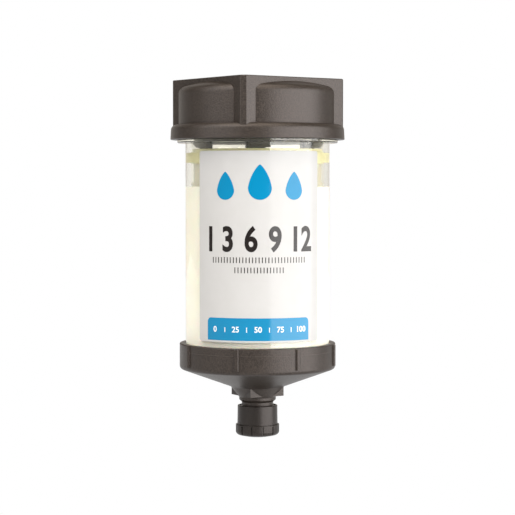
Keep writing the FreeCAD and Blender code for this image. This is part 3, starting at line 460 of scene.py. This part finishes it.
def bent(mesh, radius):
    """Slice a flat mesh into upright strips and roll it round the Z axis, middle to the front."""
    along = [v.co.x for v in mesh.verts]
    step = math.ceil(min(along) / SLICE)
    while step * SLICE < max(along):
        everything = mesh.verts[:] + mesh.edges[:] + mesh.faces[:]
        bmesh.ops.bisect_plane(mesh, geom=everything, dist=MERGE / 10,
                               plane_co=(step * SLICE, 0, 0), plane_no=(1, 0, 0))
        step += 1
    for vert in mesh.verts:
        turn, reach = vert.co.x / radius, radius + vert.co.z
        vert.co = (reach * math.sin(turn), -reach * math.cos(turn), vert.co.y)
    return mesh


sheet = card(LABEL_LEFT, LABEL_RIGHT, LABEL_BOTTOM, LABEL_TOP, CORNER)
thicken(sheet, FILM)
print("label card", round((LABEL_RIGHT - LABEL_LEFT) / MM, 1), "mm wide")

# %% [markdown]
# The film is satin white polypropylene. Its inks are glossy enough to mirror the softbox, which
# is why the print looks washed out on the right. The surface has a very weak orange-peel from the
# rollers.

# %% Label film and inks
def printed(name, hex_code, second, gloss):
    """Film or ink: an even colour with faint clouds. Gloss sets how much its surface mirrors."""
    material, tree, output, place = new_material(name)
    cloud = add(tree, "ShaderNodeTexNoise", Vector=place, Scale=per_metre(6), Detail=2)
    colour = add(tree, "ShaderNodeMix", {"data_type": "RGBA"}, input_0=cloud.outputs["Fac"],
                 input_6=linear(hex_code), input_7=linear(second))
    peel = add(tree, "ShaderNodeTexNoise", Vector=place, Scale=per_metre(2.5), Detail=1)
    bump = add(tree, "ShaderNodeBump", Height=peel.outputs["Fac"], Strength=0.15,
               Distance=0.01 * MM)
    shader = add(tree, "ShaderNodeBsdfPrincipled", Base_Color=colour.outputs[2], Roughness=0.12,
                 Normal=bump.outputs["Normal"], Specular_IOR_Level=gloss)
    tree.links.new(shader.outputs["BSDF"], output.inputs["Surface"])
    return material


film = printed("satin_polypropylene_film", "#c0bfbd", "#c7c6c5", 0.2)
blue_ink = printed("cyan_screen_ink", "#007eab", "#0084b3", 0.4)
black_ink = printed("warm_black_screen_ink", "#1d1817", "#231e1c", 0.45)
white_ink = printed("white_screen_ink", "#e6eaec", "#eef1f2", 0.2)

label = put("label_film", bent(sheet, CYLINDER_R), film, "reservoir_body")
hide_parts("label")
print("label film", len(label.data.polygons), "faces")

# %% [markdown]
# The print is modelled too, as ink a few hundredths of a millimetre thick, so it is really there
# in the mesh. An image could carry it as well, but modelled ink stays sharp at any size. Three
# helpers serve it all: one lays a flat shape on the label, one draws figures and one draws
# upright bars.

# %% Helpers for the print
INK, INK_GAP = 0.03 * MM, 0.01 * MM
INK_R = CYLINDER_R + FILM + INK_GAP
FIGURE_STEPS = 6


def print_on_label(name, mesh, ink, layer=0):
    """Make a flat shape a film of ink on the label. Layer 1 lies over layer 0."""
    thicken(mesh, INK)
    piece = put(name, bent(mesh, INK_R + layer * (INK + INK_GAP)), ink, "reservoir_body")
    return piece


def figures(items, size, weight, narrow=1):
    """Flat mesh of centred figures, given as (text, x, y). Weight fattens the strokes."""
    mesh = bmesh.new()
    for text, x, y in items:
        curve = bpy.data.curves.new("figure", "FONT")
        curve.body, curve.size, curve.offset = text, size, weight
        curve.align_x = curve.align_y = "CENTER"
        curve.resolution_u = FIGURE_STEPS
        holder = bpy.data.objects.new("figure", curve)
        flat = bpy.data.meshes.new_from_object(holder)
        before = len(mesh.verts)
        mesh.from_mesh(flat)
        mesh.verts.ensure_lookup_table()
        bmesh.ops.scale(mesh, verts=mesh.verts[before:], vec=(narrow, 1, 1))
        bmesh.ops.translate(mesh, verts=mesh.verts[before:], vec=(x, y, 0))
        bpy.data.objects.remove(holder)
    bmesh.ops.remove_doubles(mesh, verts=mesh.verts, dist=MERGE)
    return mesh


def bars(places, width, low, high):
    """Flat mesh of upright bars at places along the label."""
    mesh = bmesh.new()
    for x in places:
        one = bmesh.ops.create_grid(mesh, x_segments=1, y_segments=1, size=0.5)["verts"]
        bmesh.ops.scale(mesh, verts=one, vec=(width, high - low, 1))
        bmesh.ops.translate(mesh, verts=one, vec=(x, (low + high) / 2, 0))
    return mesh


print("ink", round(INK / MM, 2), "mm thick at a radius of", round(INK_R / MM, 2), "mm")

# %% [markdown]
# A blue panel lies along the label's lower edge. It is the same kind of card as the label, with
# only its upper corners rounded.

# %% Blue panel
PANEL_LEFT, PANEL_RIGHT = -20.1 * MM, 20.7 * MM
PANEL_LOW, PANEL_HIGH = 37.0 * MM, 45.3 * MM
PANEL_CORNER = 1.6 * MM
panel = card(PANEL_LEFT, PANEL_RIGHT, PANEL_LOW, PANEL_HIGH, PANEL_CORNER, top_only=True)
print_on_label("label_panel", panel, blue_ink)
print("panel", round((PANEL_RIGHT - PANEL_LEFT) / MM, 1), "mm wide")

# %% [markdown]
# The panel carries a plain scale of the contents in white: the figures 0 to 100, with a mark
# between each two. It is a second layer of ink, so it lies on the blue and not in it.

# %% Contents scale in the panel
SHARES = (0, 25, 50, 75, 100)
SHARE_PITCH = 8.4
FIRST_SHARE, FIRST_MARK = -16.6, -12.4
SHARE_ROW, SHARE_SIZE, SHARE_WEIGHT = 41.0 * MM, 2.9 * MM, 0.06 * MM
MARK_WIDTH, MARK_LOW, MARK_HIGH = 0.3 * MM, 40.1 * MM, 41.9 * MM
shares = [(str(share), (FIRST_SHARE + i * SHARE_PITCH) * MM, SHARE_ROW)
          for i, share in enumerate(SHARES)]
marks = [(FIRST_MARK + i * SHARE_PITCH) * MM for i in range(len(SHARES) - 1)]
print_on_label("label_contents_figures", figures(shares, SHARE_SIZE, SHARE_WEIGHT), white_ink, layer=1)
print_on_label("label_contents_marks", bars(marks, MARK_WIDTH, MARK_LOW, MARK_HIGH), white_ink,
               layer=1)
print("contents figures:", len(shares))

# %% [markdown]
# The months are large narrow figures, so they can be read from a few steps away. They are printed
# in black over two rows of ticks. Each row is a few numbers, its first place, its count and its
# heights, so one loop makes both.

# %% Month scale
MONTHS = [("1", -18.6), ("3", -11.2), ("6", -2.4), ("9", 6.6), ("12", 17.1)]
MONTH_ROW, MONTH_SIZE, MONTH_WEIGHT = 73.75 * MM, 12.6 * MM, 0.35 * MM
TICK_PITCH, TICK_WIDTH = 1.2, 0.32 * MM
months = [(text, x * MM, MONTH_ROW) for text, x in MONTHS]
print_on_label("label_month_figures", figures(months, MONTH_SIZE, MONTH_WEIGHT, narrow=0.8), black_ink)
for name, first, count, low, high in (("label_month_scale", -17.4, 31, 65.5, 67.6),
                                      ("label_half_scale", -8.4, 16, 61.8, 63.9)):
    ticks = [(first + i * TICK_PITCH) * MM for i in range(count)]
    print_on_label(name, bars(ticks, TICK_WIDTH, low * MM, high * MM), black_ink)
    print(name, count, "ticks")

# %% [markdown]
# Three drops at the top of the label stand for oil. A drop starts as a circle. Its upper half is
# stretched upwards and drawn in, more and more towards the tip, which is what a pencil does to a
# circle to make a drop.

# %% Drops
STRETCH = 1.95
DRAWN_IN = 0.3
DROP_STEPS = 48
DROPS = ((-12.2, 3.5), (0.9, 4.4), (14.0, 3.5))
DROPS_BOTTOM = 88.6


def drop(mesh, x, bottom, radius):
    """Add a drop to a flat mesh: a circle whose upper half is stretched to a tip."""
    circle = bmesh.ops.create_circle(mesh, cap_ends=True, segments=DROP_STEPS, radius=radius)["verts"]
    for vert in circle:
        rise = max(vert.co.y / radius, 0)
        vert.co.x *= max(1 - rise, 0) ** DRAWN_IN
        vert.co.y = vert.co.y if rise == 0 else rise * STRETCH * radius
    bmesh.ops.translate(mesh, verts=circle, vec=(x, bottom + radius, 0))


shapes = bmesh.new()
for x, radius in DROPS:
    drop(shapes, x * MM, DROPS_BOTTOM * MM, radius * MM)
drops = print_on_label("label_drops", shapes, blue_ink)
print("drops", len(drops.data.polygons), "faces")

# %% [markdown]
# Under the plug the outlet has a fine tapered pipe thread, 19 turns to the inch. The solid is a
# plain cone, so the thread is a low ridge wound on it: a small trapezium that is spun about the
# axis and rises by one pitch a turn, and is then widened towards the top like the cone.

# %% Outlet thread
PITCH = 25.4 / 19 * MM
TURNS = 6
STEM_R = 6.4 * MM
TAPER = 1 / 32
RIDGE, BITE = 0.11 * MM, 0.15 * MM
HALF_ROOT, HALF_CREST = 0.55 * MM, 0.1 * MM
FIRST_TURN = 1.2 * MM
STEPS_PER_TURN = 64
mesh = bmesh.new()
profile = [(STEM_R - BITE, -HALF_ROOT), (STEM_R + RIDGE, -HALF_CREST), (STEM_R + RIDGE, HALF_CREST),
           (STEM_R - BITE, HALF_ROOT)]
corners = [mesh.verts.new((r, 0, FIRST_TURN + z)) for r, z in profile]
face = mesh.faces.new(corners)
bmesh.ops.spin(mesh, geom=[face], cent=(0, 0, 0), axis=(0, 0, 1),
               dvec=(0, 0, PITCH / STEPS_PER_TURN), angle=math.tau * TURNS,
               steps=STEPS_PER_TURN * TURNS)
for vert in mesh.verts:
    wider = 1 + vert.co.z * TAPER / STEM_R
    vert.co.x *= wider
    vert.co.y *= wider
thread = put("outlet_thread_ridge", mesh, nylon, "reservoir_body")
print("thread", len(thread.data.polygons), "faces, pitch", round(PITCH / MM, 3), "mm")

# %% [markdown]
# The two halves of the mould meet around the band and leave a hair-thin ridge there, drawn in a
# lighter grey than the band. It is a triangle that is spun once, and the ribs cover it where they
# cross.

# %% Mould line on the band
BAND_R = 29.6 * MM
LINE_HEIGHT = 31.45 * MM
LINE_OUT, LINE_HALF = 0.04 * MM, 0.1 * MM
# The ridge's material is a lighter grey than the band's nylon.
line_grey_nylon = moulded("lighter_grey_line_nylon", "#57504a", "#6b635c", 0.4, 0.6, 0.02, warm=NYLON_WARM)
line = put("mould_line", spun([(BAND_R - LINE_HALF, LINE_HEIGHT - LINE_HALF),
                               (BAND_R + LINE_OUT, LINE_HEIGHT),
                               (BAND_R - LINE_HALF, LINE_HEIGHT + LINE_HALF)]),
           line_grey_nylon, "reservoir_body")
print("mould line at", round(LINE_HEIGHT / MM, 2), "mm")

# %% [markdown]
# Beside the switch window the cover carries the plain numbers 1 to 5, one for each slider, and
# ON. They are pad-printed in white.

# %% Numbers on the control cover
SLIDER_PITCH = 2.54 * MM
WINDOW_Y, BESIDE = -7.0 * MM, 5.6 * MM
items = [(str(i + 1), (i - 2) * SLIDER_PITCH, WINDOW_Y - BESIDE) for i in range(SLIDERS)]
items.append(("ON", 0, WINDOW_Y + BESIDE))
mesh = figures(items, 2.1 * MM, 0.03 * MM)
thicken(mesh, INK)
bmesh.ops.translate(mesh, verts=mesh.verts, vec=(0, 0, cover_high.z + INK_GAP))
numbers = put("cover_numbers", mesh, white_ink, "reservoir_body")
print("cover numbers", len(numbers.data.polygons), "faces")

# %% [markdown]
# The lights are big and soft, as in a product studio. The strongest is a wide softbox to the
# right of the camera: its left edge is mirrored in the label, and it makes the faces that turn
# that way shine. A weaker one on the left opens up the shadows, and a warm one above the camera
# lights the shoulders.

# %% Lamps
def softbox(name, azimuth, height, distance, width, tall, radiance, tint="#ffffff"):
    """Area light that faces the axis. Azimuth is from the camera's side, positive to the right.

    Lengths are in metres. The energy grows with the lamp's face, so a wider lamp is no dimmer.
    """
    light = bpy.data.lights.new(name, "AREA")
    light.color = linear(tint)[:3]
    light.shape = "RECTANGLE"
    light.size, light.size_y = width, tall
    light.energy = radiance * 4 * width * tall
    lamp = bpy.data.objects.new(name, light)
    bpy.context.scene.collection.objects.link(lamp)
    turn = math.radians(azimuth)
    lamp.location = (distance * math.sin(turn), -distance * math.cos(turn), height)
    away = lamp.location - Vector((0, 0, AIM_HEIGHT))
    lamp.rotation_euler = away.to_track_quat("Z", "Y").to_euler()
    return lamp


softbox("key", 57, 0.2, 0.8, 1.25, 0.7, 3.0)
softbox("left_fill", -55, 0.55, 0.75, 0.9, 0.9, 1.6)
softbox("above", -12, 1.0, 0.42, 1.2, 1.2, 1.9, "#fff4e6")
print("softboxes:", len(bpy.data.lights))

# %% [markdown]
# The room is white where the camera looks at it, directly or through the clear wall, so the
# background is clean. For the light that falls on the object it is brighter behind, like a lit
# backdrop, and darker to the sides and towards the camera, which keeps the edges of the black
# nylon deep. A ramp from front to back holds those levels.

# %% Room
ROOM = [(0.0, 0.15), (0.35, 0.25), (0.5, 0.14), (0.78, 0.12), (1.0, 0.75)]
ROOM_WARM = linear("#fff8f0")


def looked_at(tree):
    """1 for rays that come from the camera, directly or through the clear wall, else 0."""
    rays = add(tree, "ShaderNodeLightPath")
    either = add(tree, "ShaderNodeMath", {"operation": "MAXIMUM"},
                 input_0=rays.outputs["Is Camera Ray"],
                 input_1=rays.outputs["Is Transmission Ray"])
    return either.outputs["Value"]


world = bpy.data.worlds.new("studio")
world.use_nodes = True
bpy.context.scene.world = world
tree = world.node_tree
tree.nodes.clear()
direction = add(tree, "ShaderNodeTexCoord")
axes = add(tree, "ShaderNodeSeparateXYZ", Vector=direction.outputs["Generated"])
depth = add(tree, "ShaderNodeMapRange", Value=axes.outputs["Y"], From_Min=-1, From_Max=1)
ramp = add(tree, "ShaderNodeValToRGB", Fac=depth.outputs["Result"])
while len(ramp.color_ramp.elements) < len(ROOM):
    ramp.color_ramp.elements.new(0.5)
for stop, (position, level) in zip(ramp.color_ramp.elements, ROOM):
    stop.position, stop.color = position, [level * part for part in ROOM_WARM[:3]] + [1]
colour = add(tree, "ShaderNodeMix", {"data_type": "RGBA"}, input_0=looked_at(tree),
             input_6=ramp.outputs["Color"], input_7=(1, 1, 1, 1))
room = add(tree, "ShaderNodeBackground", Color=colour.outputs[2])
add(tree, "ShaderNodeOutputWorld", Surface=room.outputs["Background"])
bpy.context.scene.view_settings.view_transform = "Standard"
print("room levels:", [level for _, level in ROOM])

# %% [markdown]
# A plain white sheet stands for the table, well below the object, so that no shadow or edge of it
# shows. It glows in the same two ways as the room, and is marked as a backdrop, so the size of the
# model leaves it out.

# %% Table
TABLE_DROP = 250 * MM
TABLE_HALF = 6
TABLE_LEVEL = 0.85
mesh = bmesh.new()
bmesh.ops.create_grid(mesh, x_segments=1, y_segments=1, size=TABLE_HALF)
bmesh.ops.translate(mesh, verts=mesh.verts, vec=(0, 0, cad_box[0].z - TABLE_DROP))
data = bpy.data.meshes.new("table")
mesh.to_mesh(data)
mesh.free()
table = bpy.data.objects.new("table", data)
bpy.context.scene.collection.objects.link(table)
material, tree, output, place = new_material("matt_white_table")
strength = add(tree, "ShaderNodeMapRange", Value=looked_at(tree), To_Min=TABLE_LEVEL, To_Max=1)
glow = add(tree, "ShaderNodeEmission", Color=(1, 1, 1, 1), Strength=strength.outputs["Result"])
tree.links.new(glow.outputs["Emission"], output.inputs["Surface"])
wear(table, material)
table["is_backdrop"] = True
print("table", round(TABLE_DROP / MM), "mm below the object")

# %% [markdown]
# The last cell prints the size of the finished model, which should agree with that of the solids
# alone.

# %% Sizes and finish
dressed_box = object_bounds()
dressed_size = dressed_box[1] - dressed_box[0]
print("size of the dressed model in mm:", [round(length / MM, 1) for length in dressed_size])
